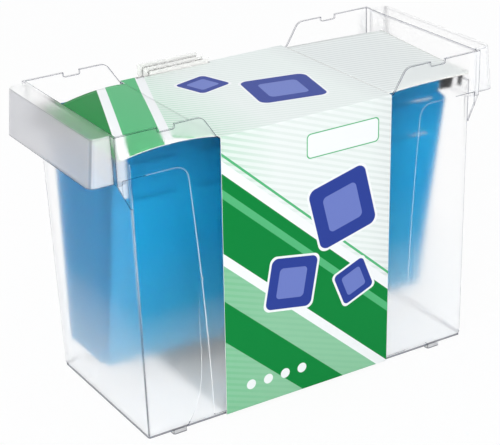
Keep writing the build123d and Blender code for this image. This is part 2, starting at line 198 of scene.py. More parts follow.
@dataclass(frozen=True)
class FrostedPolystyrene(Finish):
    """Injection-moulded clear polystyrene from a spark-eroded mould.

    The fine texture on both faces blurs what lies behind it more the further away it is. Light
    that runs inside the wall leaves at its sharp edges, which read as thin violet-grey lines,
    and scatters in its rounded corners and panel steps, which read as white ones; both are
    painted, the dark lines as painted shade and the white ones as painted highlights. As in
    the photo, the box is hazier low down, with painted light, and greyest on the collars' end
    skirts, where the grey is painted shade.

    A mark is a value from 0 to 1 over the box, and its pair says between which two heights,
    places, facings or flatnesses it lies or grows. A share is how strong a mark shows.
    """

    name: str = "frosted_polystyrene"
    tint: str = "#ffffff"
    # Colour of the painted shade: lines on sharp edges, along the foot, on the feet's tips and on
    # the end-facing half of low corners.
    painted_edge_shade: str = "#1c2036"
    # Grey of the painted shade on the collars' end skirts.
    painted_skirt_shade: str = "#d2d2d4"
    # Polystyrene has 1.59. This is matched to the photo, in which the walls hardly reflect.
    ior: float = 1.07
    roughness: float = 0.54
    # What is left of the clearness where a white mark is full.
    clear_least: float = 0.3
    # The real texture, some 0.05 mm wide, is too fine to show, so it is drawn coarser.
    grain: float = 0.9 * MM
    relief: float = 0.08 * MM
    relief_share: float = 0.5
    edge_reach: float = 1.3 * MM
    # Where sharp edges get the painted shade lines.
    line_flatness: Pair = (0.98, 0.9)
    # Panel steps get a painted highlight, weaker higher up.
    step_flatness: Pair = (0.99, 0.92)
    step_fade: Pair = (240 * MM, 90 * MM)
    step_high_share: float = 0.45
    panel_end: float = 150 * MM
    panel_heights: Pair = (8 * MM, 243 * MM)
    # Rounded corners get a painted highlight, and the half of a low one that faces the box's end
    # gets painted shade, weaker higher up.
    corner_facing: Pair = (0.94, 0.8)
    painted_corner_highlight_share: float = 0.7
    end_lead: Pair = (-0.25, 0.0)
    end_fade: Pair = (150 * MM, 50 * MM)
    end_high_share: float = 0.45
    painted_end_shade_share: float = 0.9
    # A painted shade line along the foot, a painted highlight just above it, and painted shade on
    # the feet's tips.
    painted_foot_shade: Pair = (4.02 * MM, 5.9 * MM)
    painted_foot_shade_share: float = 0.85
    painted_foot_highlight: Pair = (6.6 * MM, 7.8 * MM)
    painted_foot_highlight_share: float = 0.6
    painted_feet_tip_shade: Pair = (-1 * MM, 0.9 * MM)
    painted_feet_tip_shade_share: float = 0.8
    # Painted light that makes the box paler towards the bottom.
    painted_low_light_heights: Pair = (120 * MM, 15 * MM)
    painted_low_light_share: float = 0.26
    collar_heights: Pair = (222 * MM, 300 * MM)
    collar_places: Pair = (164 * MM, 168 * MM)
    veil_facing: Pair = (0.8, 0.95)
    veil_share: float = 0.5
    skirt_places: Pair = (176 * MM, 184 * MM)
    skirt_share: float = 0.5

    @staticmethod
    def level(spot: Spot, heights: Pair) -> Socket:
        """1 between two heights."""
        middle, half = sum(heights) / 2, (heights[1] - heights[0]) / 2
        return add_node(spot.tree, "Math", (spot.place[2], middle, half), operation="COMPARE")

    def panel(self, spot: Spot) -> Socket:
        """1 over the part of the walls that holds the stepped panels.

        Args:
            spot: what is shaded.

        Returns:
            The mark.
        """
        ends = (spot.place[0], 0.0, self.panel_end)
        near = add_node(spot.tree, "Math", ends, operation="COMPARE")
        level = self.level(spot, self.panel_heights)
        return add_node(spot.tree, "Math", (near, level), operation="MULTIPLY")

    def corners(self, spot: Spot) -> Socket:
        """1 where a rounded corner faces well away from all three axes, 0 on flat walls.

        Args:
            spot: what is shaded.

        Returns:
            The mark.
        """
        most: float | Socket = 0.0
        for share in spot.facing:
            most = add_node(spot.tree, "Math", (most, share), operation="MAXIMUM")
        return add_node(spot.tree, "MapRange", (most, *self.corner_facing))

    def end_side(self, spot: Spot) -> Socket:
        """1 on the half of a low rounded corner that faces the box's end, and less higher up.

        Args:
            spot: what is shaded.

        Returns:
            The mark.
        """
        tree = spot.tree
        lead = add_node(tree, "Math", (spot.facing[0], spot.facing[1]), operation="SUBTRACT")
        half = add_node(tree, "MapRange", (lead, *self.end_lead))
        low = add_node(tree, "MapRange", (spot.place[2], *self.end_fade, self.end_high_share))
        both = add_node(tree, "Math", (half, low), operation="MULTIPLY")
        return add_node(tree, "Math", (both, self.corners(spot)), operation="MULTIPLY")

    def veil(self, spot: Spot) -> Socket:
        """1 on the front and back faces of the collars, beyond the end walls.

        Args:
            spot: what is shaded.

        Returns:
            The mark.
        """
        out = add_node(spot.tree, "Math", (spot.place[0],), operation="ABSOLUTE")
        beyond = add_node(spot.tree, "MapRange", (out, *self.collar_places))
        front = add_node(spot.tree, "MapRange", (spot.facing[1], *self.veil_facing))
        both = add_node(spot.tree, "Math", (beyond, front), operation="MULTIPLY")
        high = self.level(spot, self.collar_heights)
        return add_node(spot.tree, "Math", (both, high), operation="MULTIPLY")

    def skirt(self, spot: Spot) -> Socket:
        """1 on the outer faces of the collars' end skirts, seen from outside.

        The place along the box times the normal's share along it is largest there.

        Args:
            spot: what is shaded.

        Returns:
            The mark.
        """
        ends = (spot.place[0], spot.normal[0])
        outward = add_node(spot.tree, "Math", ends, operation="MULTIPLY")
        end = add_node(spot.tree, "MapRange", (outward, *self.skirt_places))
        high = self.level(spot, self.collar_heights)
        return add_node(spot.tree, "Math", (end, high), operation="MULTIPLY")

    @staticmethod
    def strongest(tree: Tree, marks: list[tuple[Socket, float]]) -> Socket:
        """The strongest of several marks.

        Args:
            tree: the material's nodes.
            marks: each mark with its share.

        Returns:
            The largest product of a mark and its share.
        """
        most: float | Socket = 0.0
        for mark, share in marks:
            part = add_node(tree, "Math", (mark, share), operation="MULTIPLY")
            most = add_node(tree, "Math", (most, part), operation="MAXIMUM")
        return most

    def shader(self, tree: Tree) -> Socket:
        """Builds the finish: dark marks tint it, and white ones make it less clear."""
        where = add_node(tree, "TexCoord", out="Object")
        normal = add_node(tree, "NewGeometry", out="Normal")
        size = add_node(tree, "VectorMath", (normal,), operation="ABSOLUTE")
        parts = [
            [add_node(tree, "SeparateXYZ", (vector,), axis) for axis in range(3)]
            for vector in (where, normal, size)
        ]
        spot = Spot(tree, *parts)
        flat, panel = flatness(tree, self.edge_reach), self.panel(spot)
        end_side, skirt = self.end_side(spot), self.skirt(spot)

        line = add_node(tree, "MapRange", (flat, *self.line_flatness))
        off_panel = add_node(tree, "Math", (1.0, panel), operation="SUBTRACT")
        # The strongest painted shade: lines on sharp edges off the panels, along the foot and on
        # the feet's tips, and on the end-facing half of low corners.
        dark = self.strongest(
            tree,
            [
                (add_node(tree, "Math", (line, off_panel), operation="MULTIPLY"), 1.0),
                (self.level(spot, self.painted_foot_shade), self.painted_foot_shade_share),
                (self.level(spot, self.painted_feet_tip_shade), self.painted_feet_tip_shade_share),
                (end_side, self.painted_end_shade_share),
            ],
        )
        step = add_node(tree, "MapRange", (flat, *self.step_flatness))
        step = add_node(tree, "Math", (step, panel), operation="MULTIPLY")
        height = spot.place[2]
        low = add_node(tree, "MapRange", (height, *self.step_fade, self.step_high_share))
        # Rounded corners get a painted highlight, except on their half that has painted shade.
        lit_half = add_node(tree, "Math", (1.0, end_side), operation="SUBTRACT")
        lit = (self.corners(spot), lit_half)
        # The strongest white mark: painted highlights on panel steps, rounded corners and above
        # the foot, painted light low down, and less clearness on the collars and their end skirts.
        white = self.strongest(
            tree,
            [
                (add_node(tree, "Math", (step, low), operation="MULTIPLY"), 1.0),
                (add_node(tree, "Math", lit, operation="MULTIPLY"), self.painted_corner_highlight_share),
                (self.level(spot, self.painted_foot_highlight), self.painted_foot_highlight_share),
                (self.veil(spot), self.veil_share),
                (add_node(tree, "MapRange", (height, *self.painted_low_light_heights)), self.painted_low_light_share),
                (skirt, self.skirt_share),
            ],
        )
        # The end skirts' grey is painted shade, and all dark marks take the painted edge shade.
        ends = {SHARE: skirt, UNDER: linear(self.tint), OVER: linear(self.painted_skirt_shade)}
        body = add_node(tree, "Mix", ends, MIXED, data_type="RGBA")
        lined = {SHARE: dark, UNDER: body, OVER: linear(self.painted_edge_shade)}
        texture = {"Vector": where, "Scale": 1 / self.grain, "Detail": 2.0}
        relief = {
            "Height": add_node(tree, "TexNoise", texture),
            "Distance": self.relief,
            "Strength": self.relief_share,
        }
        inputs = {
            "Base Color": add_node(tree, "Mix", lined, MIXED, data_type="RGBA"),
            "Roughness": self.roughness,
            "IOR": self.ior,
            "Transmission Weight": add_node(
                tree, "MapRange", (white, 0.0, 1.0, 1.0, self.clear_least)
            ),
            "Normal": add_node(tree, "Bump", relief),
        }
        return add_node(tree, "BsdfPrincipled", inputs)


@dataclass(frozen=True)
class DyedCard(Finish):
    """Suspension-file manilla, dyed through and calendered: matt, with short felted fibres.

    Light soaks a little way into it, which evens out the shade in its folds. Painted shade
    makes it darker at the hem, which lies under the flaps, and darkest on its cut edges, and
    painted light makes it paler at the foot.
    """

    name: str = "dyed_manilla_card"
    colour: str = "#0595cc"
    fibre_colour: str = "#0486bc"
    cloud_colour: str = "#129fd3"
    # Painted shade at the hem, which lies under the flaps.
    hem_painted_shade: str = "#02699a"
    # Painted light at the foot.
    foot_painted_light: str = "#47add8"
    # Painted shade on the cut edges.
    cut_painted_shade: str = "#033f66"
    fibre: float = 0.9 * MM
    cloud: float = 60 * MM
    hem_heights: Pair = (190 * MM, 240 * MM)
    hem_painted_shade_share: float = 0.7
    foot_heights: Pair = (150 * MM, 40 * MM)
    foot_painted_light_share: float = 0.75
    cut_reach: float = 1.8 * MM
    cut_flatness: Pair = (0.98, 0.85)
    cut_painted_shade_share: float = 0.85
    roughness: float = 0.62
    specular: float = 0.2
    soak_share: float = 0.7
    soak: float = 2.0 * MM
    relief: float = 0.05 * MM
    relief_share: float = 0.4

    def shader(self, tree: Tree) -> Socket:
        """Builds the finish, in layers of colour that each have their share."""
        where = add_node(tree, "TexCoord", out="Object")
        height = add_node(tree, "SeparateXYZ", (where,), 2)
        felt = {"Vector": where, "Scale": 1 / self.fibre, "Detail": 3.0}
        uneven = {"Vector": where, "Scale": 1 / self.cloud, "Detail": 2.0}
        fibres, cloud = add_node(tree, "TexNoise", felt), add_node(tree, "TexNoise", uneven)
        flat = flatness(tree, self.cut_reach)
        # Painted shade at the hem, painted light at the foot and painted shade on the cut edges.
        hem = add_node(tree, "MapRange", (height, *self.hem_heights, 0.0, self.hem_painted_shade_share))
        foot = add_node(tree, "MapRange", (height, *self.foot_heights, 0.0, self.foot_painted_light_share))
        cut = add_node(tree, "MapRange", (flat, *self.cut_flatness, 0.0, self.cut_painted_shade_share))
        shade = linear(self.fibre_colour)
        for share, colour in (
            (fibres, self.colour),
            (cloud, self.cloud_colour),
            (hem, self.hem_painted_shade),
            (foot, self.foot_painted_light),
            (cut, self.cut_painted_shade),
        ):
            layer = {SHARE: share, UNDER: shade, OVER: linear(colour)}
            shade = add_node(tree, "Mix", layer, MIXED, data_type="RGBA")
        relief = {"Height": fibres, "Distance": self.relief, "Strength": self.relief_share}
        inputs = {
            "Base Color": shade,
            "Roughness": self.roughness,
            "Specular IOR Level": self.specular,
            "Subsurface Weight": self.soak_share,
            "Subsurface Radius": (1.0, 1.0, 1.0),
            "Subsurface Scale": self.soak,
            "Normal": add_node(tree, "Bump", relief),
        }
        return add_node(tree, "BsdfPrincipled", inputs)


@dataclass(frozen=True)
class ZincSteel(Finish):
    """Cold-rolled steel strip with a zinc coat: grey, with faint rolling lines along it."""

    name: str = "zinc_plated_steel"
    colour: str = "#b9bcc2"
    line: float = 0.4 * MM
    stretch: Triple = (0.05, 1.0, 1.0)
    roughness: Pair = (0.28, 0.45)

    def shader(self, tree: Tree) -> Socket:
        """Builds the finish."""
        where = add_node(tree, "TexCoord", out="Object")
        drawn = add_node(tree, "Mapping", {"Vector": where, "Scale": self.stretch})
        rolled = {"Vector": drawn, "Scale": 1 / self.line, "Detail": 2.0}
        lines = add_node(tree, "TexNoise", rolled)
        rough = add_node(tree, "MapRange", (lines, 0.0, 1.0, *self.roughness))
        inputs = {"Base Color": linear(self.colour), "Metallic": 1.0, "Roughness": rough}
        return add_node(tree, "BsdfPrincipled", inputs)


@dataclass(frozen=True)
class BlackPolypropylene(Finish):
    """Injection-moulded polypropylene of the hooks: black, with a waxy gloss."""

    name: str = "moulded_polypropylene"
    colour: str = "#0a0a0c"
    ior: float = 1.49
    grain: float = 0.5 * MM
    roughness: Pair = (0.2, 0.34)

    def shader(self, tree: Tree) -> Socket:
        """Builds the finish."""
        where = add_node(tree, "TexCoord", out="Object")
        flow = {"Vector": where, "Scale": 1 / self.grain, "Detail": 2.0}
        grain = add_node(tree, "TexNoise", flow)
        rough = add_node(tree, "MapRange", (grain, 0.0, 1.0, *self.roughness))
        inputs = {"Base Color": linear(self.colour), "Roughness": rough, "IOR": self.ior}
        return add_node(tree, "BsdfPrincipled", inputs)


@dataclass(frozen=True)
class ClearVinyl(Finish):
    """Extruded rigid vinyl of the label tabs: clear, with a soft sheen along the extrusion."""

    name: str = "clear_rigid_vinyl"
    tint: str = "#ffffff"
    roughness: float = 0.1
    # Vinyl has 1.54. This is matched to the photo, in which the tabs show as thin pale lines.
    ior: float = 1.06
    line: float = 0.8 * MM
    stretch: Triple = (0.04, 1.0, 1.0)
    relief: float = 0.02 * MM
    relief_share: float = 0.3

    def shader(self, tree: Tree) -> Socket:
        """Builds the finish."""
        where = add_node(tree, "TexCoord", out="Object")
        drawn = add_node(tree, "Mapping", {"Vector": where, "Scale": self.stretch})
        die = {"Vector": drawn, "Scale": 1 / self.line, "Detail": 1.0}
        relief = {
            "Height": add_node(tree, "TexNoise", die),
            "Distance": self.relief,
            "Strength": self.relief_share,
        }
        inputs = {
            "Base Color": linear(self.tint),
            "Roughness": self.roughness,
            "IOR": self.ior,
            "Transmission Weight": 1.0,
            "Normal": add_node(tree, "Bump", relief),
        }
        return add_node(tree, "BsdfPrincipled", inputs)


@dataclass(frozen=True)
class LabelPaper(Finish):
    """Uncoated label paper: white and matt, with a fine felt mottle."""

    name: str = "uncoated_label_paper"
    colours: tuple[str, str] = ("#f3f2ef", "#fbfaf8")
    mottle: float = 0.7 * MM
    roughness: float = 0.8
    relief: float = 0.02 * MM
    relief_share: float = 0.3

    def shader(self, tree: Tree) -> Socket:
        """Builds the finish."""
        where = add_node(tree, "TexCoord", out="Object")
        felt = {"Vector": where, "Scale": 1 / self.mottle, "Detail": 3.0}
        mottle = add_node(tree, "TexNoise", felt)
        shades = {SHARE: mottle, UNDER: linear(self.colours[0]), OVER: linear(self.colours[1])}
        relief = {"Height": mottle, "Distance": self.relief, "Strength": self.relief_share}
        inputs = {
            "Base Color": add_node(tree, "Mix", shades, MIXED, data_type="RGBA"),
            "Roughness": self.roughness,
            "Normal": add_node(tree, "Bump", relief),
        }
        return add_node(tree, "BsdfPrincipled", inputs)


@dataclass(frozen=True)
class CardCore(Finish):
    """The cut edge and inner face of the sleeve's board: pale uncoated pulp."""

    name: str = "folding_boxboard_core"
    colours: tuple[str, str] = ("#f4f1ea", "#fbf9f4")
    fibre: float = 0.6 * MM
    roughness: float = 0.75

    def shader(self, tree: Tree) -> Socket:
        """Builds the finish."""
        where = add_node(tree, "TexCoord", out="Object")
        pulp = {"Vector": where, "Scale": 1 / self.fibre, "Detail": 3.0}
        fibres = add_node(tree, "TexNoise", pulp)
        shades = {SHARE: fibres, UNDER: linear(self.colours[0]), OVER: linear(self.colours[1])}
        shade = add_node(tree, "Mix", shades, MIXED, data_type="RGBA")
        return add_node(tree, "BsdfPrincipled", {"Base Color": shade, "Roughness": self.roughness})


@dataclass(frozen=True)
class Motif:
    """One flat shape of the print, in millimetres and degrees.

    It is a rectangle with round corners, turned about its middle. A disc is a rectangle that
    is all corner, and a band is one longer than the card.
    """

    colour: str
    centre: Pair
    half: Pair
    corner: float = 0.5
    turn: float = 0.0
    cover: float = 1.0


def tile(
    colours: tuple[str, str, str],
    centre: Pair,
    half: float,
    turn: float,
    rim: float = 2.0,
    heart: float = 0.55,
    rounding: float = 0.26,
) -> list[Motif]:
    """Nested square tiles with round corners.

    Args:
        colours: of the rim, the body and the heart.
        centre: their common middle.
        half: half the outer side.
        turn: their angle in degrees.
        rim: width of the rim.
        heart: the heart's side over the outer side.
        rounding: each corner's radius over that tile's half side.

    Returns:
        The three tiles, the largest first.
    """
    sizes = (half, half - rim, half * heart)
    return [
        Motif(colour, centre, (size, size), size * rounding, turn)
        for colour, size in zip(colours, sizes)
    ]


def bands(
    through: Pair, turn: float, rows: list[tuple[str, float, float, float]]
) -> list[Motif]:
    """Long parallel bands.

    Args:
        through: a point on the line that the bands are measured from.
        turn: the line's angle in degrees.
        rows: colour, the two distances from the line that the band lies between, and how much
            of what is below it the ink covers.

    Returns:
        One motif per row.
    """
    away = (-math.sin(math.radians(turn)), math.cos(math.radians(turn)))
    made = []
    for colour, low, high, cover in rows:
        middle = (low + high) / 2
        centre = (through[0] + away[0] * middle, through[1] + away[1] * middle)
        made.append(Motif(colour, centre, (FAR, (high - low) / 2), turn=turn, cover=cover))
    return made


@dataclass(frozen=True)
class PrintedBoard(Finish):
    """Offset-printed folding boxboard with a dispersion varnish: a soft, even gloss.

    The print is a plain pattern of slanting bands, fine stripes, tiles, discs and a blank
    panel. Its coordinates are the piece's own UV map in metres: across the sleeve, and round
    its loop from the front's bottom fold.
    """

    name: str = "printed_folding_boxboard"
    dark: str = "#008238"
    middle: str = "#54b578"
    pale: str = "#e2e9e3"
    white: str = "#f2f3f2"
    grey: str = "#d6dad7"
    mint: str = "#b4dcc0"
    stripe: str = "#f3f6f3"
    blue: str = "#2b3f92"
    haze: str = "#6d7cc0"
    edge: float = 0.3 * MM
    mint_fade: Pair = (-30 * MM, -110 * MM)
    grey_fade: Pair = (60 * MM, 90 * MM)
    stripe_pitch: float = 2.6 * MM
    stripe_turn: float = 20.0
    stripe_ends: Pair = (0.35, 0.55)
    stripe_share: float = 0.55
    fibre: float = 0.8 * MM
    roughness: float = 0.4
    ior: float = 1.45
    specular: float = 0.12
    relief: float = 0.01 * MM
    relief_share: float = 0.3

    def motifs(self) -> list[Motif]:
        """Lists the shapes of the print.

        Returns:
            The shapes in the order in which they are laid down.
        """
        front = bands(
            (0.0, 146.0),
            -42.0,
            [
                (self.middle, -FAR, -60.0, 0.75),
                (self.dark, -112.0, -84.0, 1.0),
                (self.white, -60.0, -52.0, 1.0),
                (self.dark, -52.0, 0.0, 1.0),
                (self.middle, -16.0, -10.0, 1.0),
                (self.white, 0.0, 8.0, 1.0),
                (self.middle, 11.0, 13.0, 1.0),
            ],
        )
        flap = bands(
            (-119.0, 330.0),
            70.0,
            [
                (self.dark, 20.0, 120.0, 1.0),
                (self.white, 13.0, 21.0, 1.0),
                (self.middle, -16.0, 13.0, 1.0),
                (self.white, -24.0, -16.0, 1.0),
            ],
        )
        back = bands(
            (0.0, 560.0), 12.0, [(self.dark, 0.0, FAR, 1.0), (self.white, -8.0, 0.0, 1.0)]
        )
        blues = (self.white, self.blue, self.haze)
        tiles = (
            tile(blues, (20.0, 320.0), 32.0, -12.0)
            + tile(blues, (-30.0, 370.0), 19.0, 16.0)
            + tile(blues, (34.0, 162.0), 31.0, 14.0)
            + tile(blues, (-17.0, 106.0), 25.0, -10.0)
            + tile(blues, (46.0, 90.0), 18.0, 22.0)
        )
        panel = [
            Motif(self.middle, (34.0, 224.0), (36.0, 11.0), 4.0),
            Motif(self.white, (34.0, 224.0), (35.0, 10.0), 3.4),
        ]
        discs = [Motif(self.white, (-58.0 + 17.0 * k, 22.0), (4.5, 4.5), 4.5) for k in range(4)]
        return back + front + flap + tiles + panel + discs

    def lay(self, tree: Tree, where: Socket, shade: Socket, motif: Motif) -> Socket:
        """Lays a motif over a shade.

        In the motif's own turned frame, what is left of the distance along each axis past the
        straight part of the side is measured, and the shape is where that is under its corner.

        Args:
            tree: the material's nodes.
            where: the print's coordinates.
            shade: the colour below.
            motif: what is laid over it.

        Returns:
            The colour with the motif.
        """
        centre = (motif.centre[0] * MM, motif.centre[1] * MM, 0.0)
        turned = (0.0, 0.0, math.radians(motif.turn))
        straight = tuple((side - motif.corner) * MM for side in motif.half) + (0.0,)
        local = add_node(tree, "Mapping", (where, centre, turned), vector_type="TEXTURE")
        size = add_node(tree, "VectorMath", (local,), operation="ABSOLUTE")
        past = add_node(tree, "VectorMath", (size, straight), operation="SUBTRACT")
        left = add_node(tree, "VectorMath", (past,), operation="MAXIMUM")
        far = add_node(tree, "VectorMath", (left,), "Value", operation="LENGTH")
        low, high = motif.corner * MM - self.edge / 2, motif.corner * MM + self.edge / 2
        inside = add_node(tree, "MapRange", (far, low, high, motif.cover, 0.0))
        layer = {SHARE: inside, UNDER: shade, OVER: linear(motif.colour)}
        return add_node(tree, "Mix", layer, MIXED, data_type="RGBA")

    def ground(self, tree: Tree, where: Socket) -> Socket:
        """Pale ground, greener to the left and greyer to the right, with fine slanting stripes.

        A stripe's share is a saw of the distance along the stripes' slope over their pitch.

        Args:
            tree: the material's nodes.
            where: the print's coordinates.

        Returns:
            The colour of the ground.
        """
        across = add_node(tree, "SeparateXYZ", (where,))
        to_left = add_node(tree, "MapRange", (across, *self.mint_fade))
        to_right = add_node(tree, "MapRange", (across, *self.grey_fade))
        turn = math.radians(self.stripe_turn)
        slope = (math.sin(turn), math.cos(turn), 0.0)
        along = add_node(tree, "VectorMath", (where, slope), "Value", operation="DOT_PRODUCT")
        turns = add_node(tree, "Math", (along, self.stripe_pitch), operation="DIVIDE")
        saw = add_node(tree, "Math", (turns, 1.0), operation="PINGPONG")
        stripes = add_node(tree, "MapRange", (saw, *self.stripe_ends, 0.0, self.stripe_share))
        shade = linear(self.pale)
        for share, colour in ((to_left, self.mint), (to_right, self.grey), (stripes, self.stripe)):
            layer = {SHARE: share, UNDER: shade, OVER: linear(colour)}
            shade = add_node(tree, "Mix", layer, MIXED, data_type="RGBA")
        return shade

    def shader(self, tree: Tree) -> Socket:
        """Builds the finish."""
        printed = add_node(tree, "UVMap", uv_map="print")
        shade = self.ground(tree, printed)
        for motif in self.motifs():
            shade = self.lay(tree, printed, shade, motif)
        where = add_node(tree, "TexCoord", out="Object")
        felt = {"Vector": where, "Scale": 1 / self.fibre, "Detail": 2.0}
        relief = {
            "Height": add_node(tree, "TexNoise", felt),
            "Distance": self.relief,
            "Strength": self.relief_share,
        }
        inputs = {
            "Base Color": shade,
            "Roughness": self.roughness,
            "IOR": self.ior,
            "Specular IOR Level": self.specular,
            "Normal": add_node(tree, "Bump", relief),
        }
        return add_node(tree, "BsdfPrincipled", inputs)


@dataclass(frozen=True)
class WhiteSweep(Finish):
    """White background paper: matt, and lit from within where the eye sees it.

    So it fades into the white room, and keeps a faint shadow.
    """

    name: str = "white_paper_sweep"
    colour: str = "#f2f2f2"
    glow: str = "#ffffff"
    glow_share: float = 0.94

    def shader(self, tree: Tree) -> Socket:
        """Builds the finish."""
        diffuse = add_node(tree, "BsdfDiffuse", {"Color": linear(self.colour)})
        glow = add_node(tree, "Emission", {"Color": linear(self.glow), "Strength": 1.0})
        seen = white_to_eye(tree)
        share = add_node(tree, "Math", (seen, self.glow_share), operation="MULTIPLY")
        return add_node(tree, "MixShader", (share, diffuse, glow))


def grid_quads(rows: int, columns: int, closed: bool) -> np.ndarray:
    """Quads of a grid of rows by columns points, counted row by row.

    Args:
        rows: number of points along the first parameter.
        columns: number of points along the second parameter.
        closed: whether the last row joins the first.

    Returns:
        Four point numbers per quad, shaped (row cells, column cells, 4).
    """
    cells = rows if closed else rows - 1
    i, j = np.meshgrid(np.arange(cells), np.arange(columns - 1), indexing="ij")
    after = (i + 1) % rows
    corners = [i * columns + j, after * columns + j, after * columns + j + 1, i * columns + j + 1]
    return np.stack(corners, axis=-1)


def make_piece(
    name: str, points: np.ndarray, quads: np.ndarray, uv: np.ndarray, slots: np.ndarray
) -> bpy.types.Object:
    """Makes a mesh object at the origin.

    Args:
        name: the piece's name.
        points: vertex places in metres, one row each.
        quads: four vertex numbers per face.
        uv: print coordinates per vertex.
        slots: material slot number per face.

    Returns:
        The new object, linked to the scene.
    """
    mesh = bpy.data.meshes.new(name)
    mesh.from_pydata(points.tolist(), [], quads.tolist())
    layer = mesh.uv_layers.new(name="print")
    loops = np.zeros(len(mesh.loops), np.int32)
    mesh.loops.foreach_get("vertex_index", loops)
    layer.data.foreach_set("uv", uv[loops].astype(np.float32).ravel())
    mesh.polygons.foreach_set("material_index", slots.astype(np.int32))
    mesh.update()
    piece = bpy.data.objects.new(name, mesh)
    bpy.context.scene.collection.objects.link(piece)
    return piece


def sheet_solid(
    name: str,
    middle: np.ndarray,
    outward: np.ndarray,
    uv: np.ndarray,
    thickness: float,
    closed: bool = False,
    missing: np.ndarray | None = None,
) -> bpy.types.Object:
    """Gives a grid of mid-surface points a thickness, and walls along its open edges.

    Each face is the middle surface moved half the thickness along or against its normal, and
    each edge that only one quad uses gets a wall between the two.

    Args:
        name: the piece's name.
        middle: points shaped (rows, columns, 3), in metres.
        outward: unit normals of the same shape, towards the printed face.
        uv: print coordinates shaped (rows, columns, 2).
        thickness: in metres.
        closed: whether the last row joins the first.
        missing: cells to leave out, shaped as the cells of the grid.

    Returns:
        The piece, with slot 0 on the printed face and slot 1 on the rest.
    """
    rows, columns = middle.shape[:2]
    cells = grid_quads(rows, columns, closed)
    keep = np.ones(cells.shape[:2], bool) if missing is None else ~missing
    quads = cells[keep]
    count = rows * columns
    printed = (middle + outward * thickness / 2).reshape(-1, 3)
    plain = (middle - outward * thickness / 2).reshape(-1, 3)
    flow = np.cross(
        printed[quads[:, 1]] - printed[quads[:, 0]], printed[quads[:, 3]] - printed[quads[:, 0]]
    )
    if np.einsum("ij,ij->i", flow, outward.reshape(-1, 3)[quads[:, 0]]).sum() < 0:
        quads = quads[:, ::-1]
    edges = np.concatenate([quads[:, [k, (k + 1) % 4]] for k in range(4)])
    keys = edges[:, 0] * count + edges[:, 1]
    backwards = edges[:, 1] * count + edges[:, 0]
    rim = edges[~np.isin(keys, backwards)]
    walls = np.stack([rim[:, 1], rim[:, 0], rim[:, 0] + count, rim[:, 1] + count], axis=1)
    faces = np.concatenate([quads, quads[:, ::-1] + count, walls])
    slots = np.concatenate([np.zeros(len(quads)), np.ones(len(quads) + len(walls))])
    flat_uv = uv.reshape(-1, 2)
    return make_piece(
        name, np.concatenate([printed, plain]), faces, np.concatenate([flat_uv, flat_uv]), slots
    )


def dress(piece: bpy.types.Object, *materials: bpy.types.Material) -> None:
    """Replaces a piece's materials, and keeps which slot each face has.

    Args:
        piece: the mesh object.
        materials: one for each slot.
    """
    slots = np.zeros(len(piece.data.polygons), np.int32)
    piece.data.polygons.foreach_get("material_index", slots)
    piece.data.materials.clear()
    for material in materials:
        piece.data.materials.append(material)
    piece.data.polygons.foreach_set("material_index", slots % len(materials))


class Side(Enum):
    """The two ends of the sleeve's top."""

    LEFT = -1
    RIGHT = 1


@dataclass(frozen=True)
class FlapForm:
    """How a flap of the sleeve lies, in millimetres over its fold.

    It arches between its fold and its end, and one of its free corners lifts, or droops where
    that is negative, by a power of the shares of the way towards it.
    """

    arch: float
    lift: float
    power: float
    back_corner: bool


